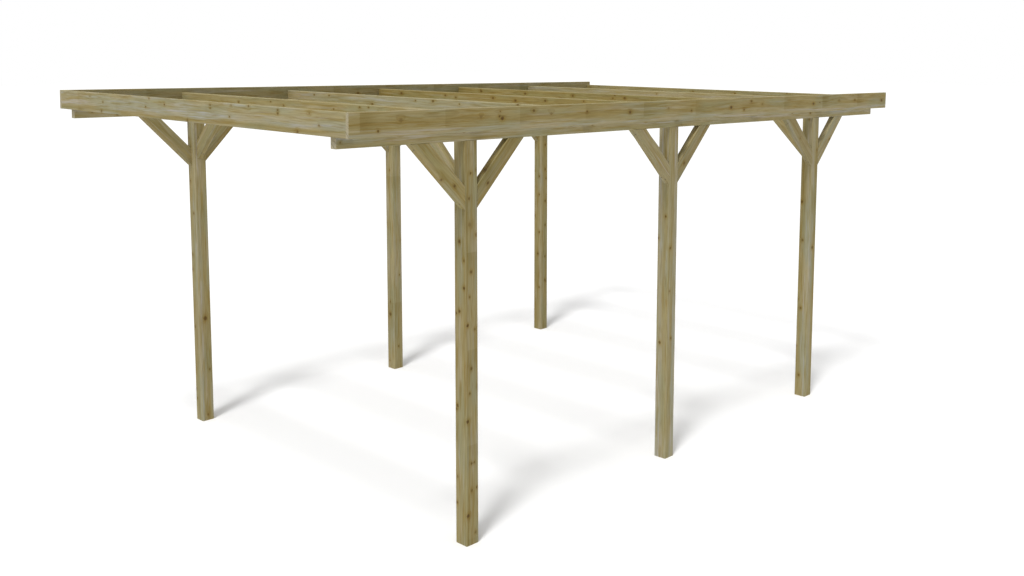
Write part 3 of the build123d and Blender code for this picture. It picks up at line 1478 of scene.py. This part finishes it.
@dataclass
class Joinery:
    """Screws whose heads show at the joints: in the braces, the posts' laps and the rafters.

    A brace's screws are measured from its tips and its middle, and a lap's down from the rafter
    above it. A rafter's lie in the middle of its flat top, whose half width is given.
    """

    finish: bpy.types.Material
    brace_head: ScrewHead = ScrewHead("brace_screw", 0.0048)
    beam_head: ScrewHead = ScrewHead("beam_screw", 0.0060)
    rafter_head: ScrewHead = ScrewHead("rafter_screw", 0.0050)
    near_tip: float = 0.045
    stagger: float = 0.015
    aside: float = 0.010
    lap_drop: float = 0.031
    lap_step: float = 0.011
    lap_aside: float = 0.020
    rafter_flat: float = 0.0195
    rafters: int = 7
    rafter_over: ClassVar[dict[str, int]] = {"front": 2, "middle": 4, "rear": 6}

    def brace_screws(self) -> ScrewSet:
        """Drive two screws near each end of every brace, square to its lower edge.

        Returns:
            The screws.
        """
        screws = ScrewSet("brace_screws", self.brace_head, self.finish)
        for node, _, away in every_brace():
            self.screw_brace(screws, node, away)
        return screws

    def screw_brace(self, screws: ScrewSet, node: str, away: Vector) -> None:
        """Add the four screws of one brace.

        Args:
            screws: the set that they go in.
            node: the brace.
            away: the direction off the post's face, in which it leads up.
        """
        low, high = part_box(node)
        towards = Vector([high[axis] if away[axis] > 0 else low[axis] for axis in range(3)])
        from_post = Vector([low[axis] if away[axis] > 0 else high[axis] for axis in range(3)])
        reach = abs((towards - from_post).dot(away))
        foot = middle(node)
        foot += away * (from_post - foot).dot(away)
        foot.z = low.z
        run, across = (away + UP).normalized(), away.cross(UP)
        length = reach * math.sqrt(2.0)
        for share, aside in ((self.near_tip, -1), (self.near_tip + self.stagger, 1)):
            for along in (share, length - share):
                screws.add(foot + run * along + across * self.aside * aside, away - UP)

    def lap_screws(self) -> ScrewSet:
        """Drive two screws from inside through each post's lap and into the beam.

        Returns:
            The screws, whose heads lie between the rafter's underside and the beam's.
        """
        screws = ScrewSet("beam_screws", self.beam_head, self.finish)
        for hand in Hand:
            for row in ROWS:
                low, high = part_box(f"post_{row}_{hand.word}")
                inner = low.x if hand is Hand.RIGHT else high.x
                rafter_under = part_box(f"rafter_{self.rafter_over[row]}")[0].z
                for step in (-1, 1):
                    drop = self.lap_drop + self.lap_step * step
                    at = Vector((inner, (low.y + high.y) / 2 + self.lap_aside * step, rafter_under - drop))
                    screws.add(at, RIGHT * -hand.value)
        return screws

    def rafter_screws(self) -> ScrewSet:
        """Drive one long screw down through every rafter into each beam.

        Returns:
            The screws, whose heads lie on the rafters' upper faces.
        """
        screws = ScrewSet("rafter_screws", self.rafter_head, self.finish)
        for number in range(1, self.rafters + 1):
            low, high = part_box(f"rafter_{number}")
            top = high.z - self.rafter_flat * math.tan(ROOF_FALL)
            for hand in Hand:
                at = Vector((middle(f"beam_{hand.word}").x, (low.y + high.y) / 2, top))
                screws.add(at, UP + BACK * math.tan(ROOF_FALL))
        return screws

    def build(self) -> None:
        """Build the three sets of screws."""
        for screws in (self.brace_screws(), self.lap_screws(), self.rafter_screws()):
            screws.build()


# The studio


@dataclass(frozen=True)
class Lamp:
    """One part of the tall key light: how far it leans from overhead, and how strongly it shines."""

    name: str
    lean: float
    level: float


@dataclass(frozen=True)
class Studio:
    """White floor and surround, a tall soft key light over the front, and the camera.

    The first two numbers of the key light are how far off in x and y it comes from for each metre up.
    """

    floor_side: float = 120.0
    floor_colour: Colour = (0.80, 0.80, 0.80, 1.0)
    floor_roughness: float = 0.9
    ambient: float = 0.530
    lamps: tuple[Lamp, ...] = (Lamp("key_high", 0.45, 0.14), Lamp("key", 1.0, 0.44), Lamp("key_low", 1.8, 0.07))
    key_from: Pair = (0.20, -0.469)
    softness: float = math.radians(9.5)
    camera_at: tuple[float, float, float] = (5.7669, -5.8134, 2.8166)
    pitch: float = math.radians(6.600)
    yaw: float = math.radians(44.811)
    lens: float = 38.618
    sensor: float = 36.0
    shift_y: float = -0.12
    sight: float = 500.0

    def floor(self) -> None:
        """Lay a pale floor that carries the object's shadow and is seen white where it is lit."""
        bpy.ops.object.select_all(action="DESELECT")
        bpy.ops.mesh.primitive_plane_add(size=self.floor_side, location=ORIGIN)
        floor = bpy.context.active_object
        floor.name = "studio_floor"
        material, graph, shader = new_material("studio_floor")
        seen = graph.add("ShaderNodeLightPath").outputs["Is Camera Ray"]
        graph.feed(shader.inputs["Base Color"], graph.blend(self.floor_colour, WHITE, seen))
        shader.inputs["Roughness"].default_value = self.floor_roughness
        shader.inputs["Specular IOR Level"].default_value = 0.0
        floor.data.materials.append(material)

    def surround(self) -> None:
        """Light the object evenly from all round, before a white background."""
        world = bpy.data.worlds.new("studio")
        bpy.context.scene.world = world
        world.use_nodes = True
        graph = Graph(world.node_tree)
        background = graph.tree.nodes["Background"]
        path = graph.add("ShaderNodeLightPath").outputs
        seen = graph.math("MAXIMUM", path["Is Camera Ray"], path["Is Glossy Ray"])
        seen = graph.math("MAXIMUM", seen, path["Is Transmission Ray"])
        graph.feed(background.inputs["Strength"], graph.scaled(seen, 1.0 - self.ambient, self.ambient))
        background.inputs["Color"].default_value = WHITE

    def key_light(self) -> None:
        """Add the key light, a tall one of three lamps, which comes steeply over the front."""
        for lamp in self.lamps:
            light = bpy.data.lights.new(lamp.name, "SUN")
            light.energy = math.pi * lamp.level
            light.angle = self.softness
            shining = bpy.data.objects.new(lamp.name, light)
            towards = Vector((self.key_from[0] * lamp.lean, self.key_from[1] * lamp.lean, 1.0))
            shining.rotation_euler = towards.to_track_quat("Z", "Y").to_euler()
            bpy.context.scene.collection.objects.link(shining)

    def camera(self) -> None:
        """Stand the camera where the photograph was taken from."""
        data = bpy.data.cameras.new("camera")
        data.lens, data.sensor_width = self.lens, self.sensor
        data.shift_y, data.clip_end = self.shift_y, self.sight
        camera = bpy.data.objects.new("camera", data)
        camera.location = self.camera_at
        camera.rotation_euler = (math.pi / 2 - self.pitch, 0.0, self.yaw)
        bpy.context.scene.collection.objects.link(camera)
        bpy.context.scene.camera = camera

    def build(self) -> None:
        """Set the stage and the way that colours are shown."""
        bpy.context.scene.view_settings.view_transform = "Standard"
        self.floor()
        self.surround()
        self.key_light()
        self.camera()


def main() -> None:
    """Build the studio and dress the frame."""
    logging.basicConfig(level=logging.INFO, format="%(name)s: %(message)s")
    Studio().build()
    pine = TreatedPine()
    for assembly in (Posts(pine), Beams(pine), Rafters(pine), EdgeBoards(pine), Braces(pine)):
        assembly.build()
    Joinery(CoatedSteel().make()).build()
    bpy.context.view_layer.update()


if __name__ == "__main__":
    main()
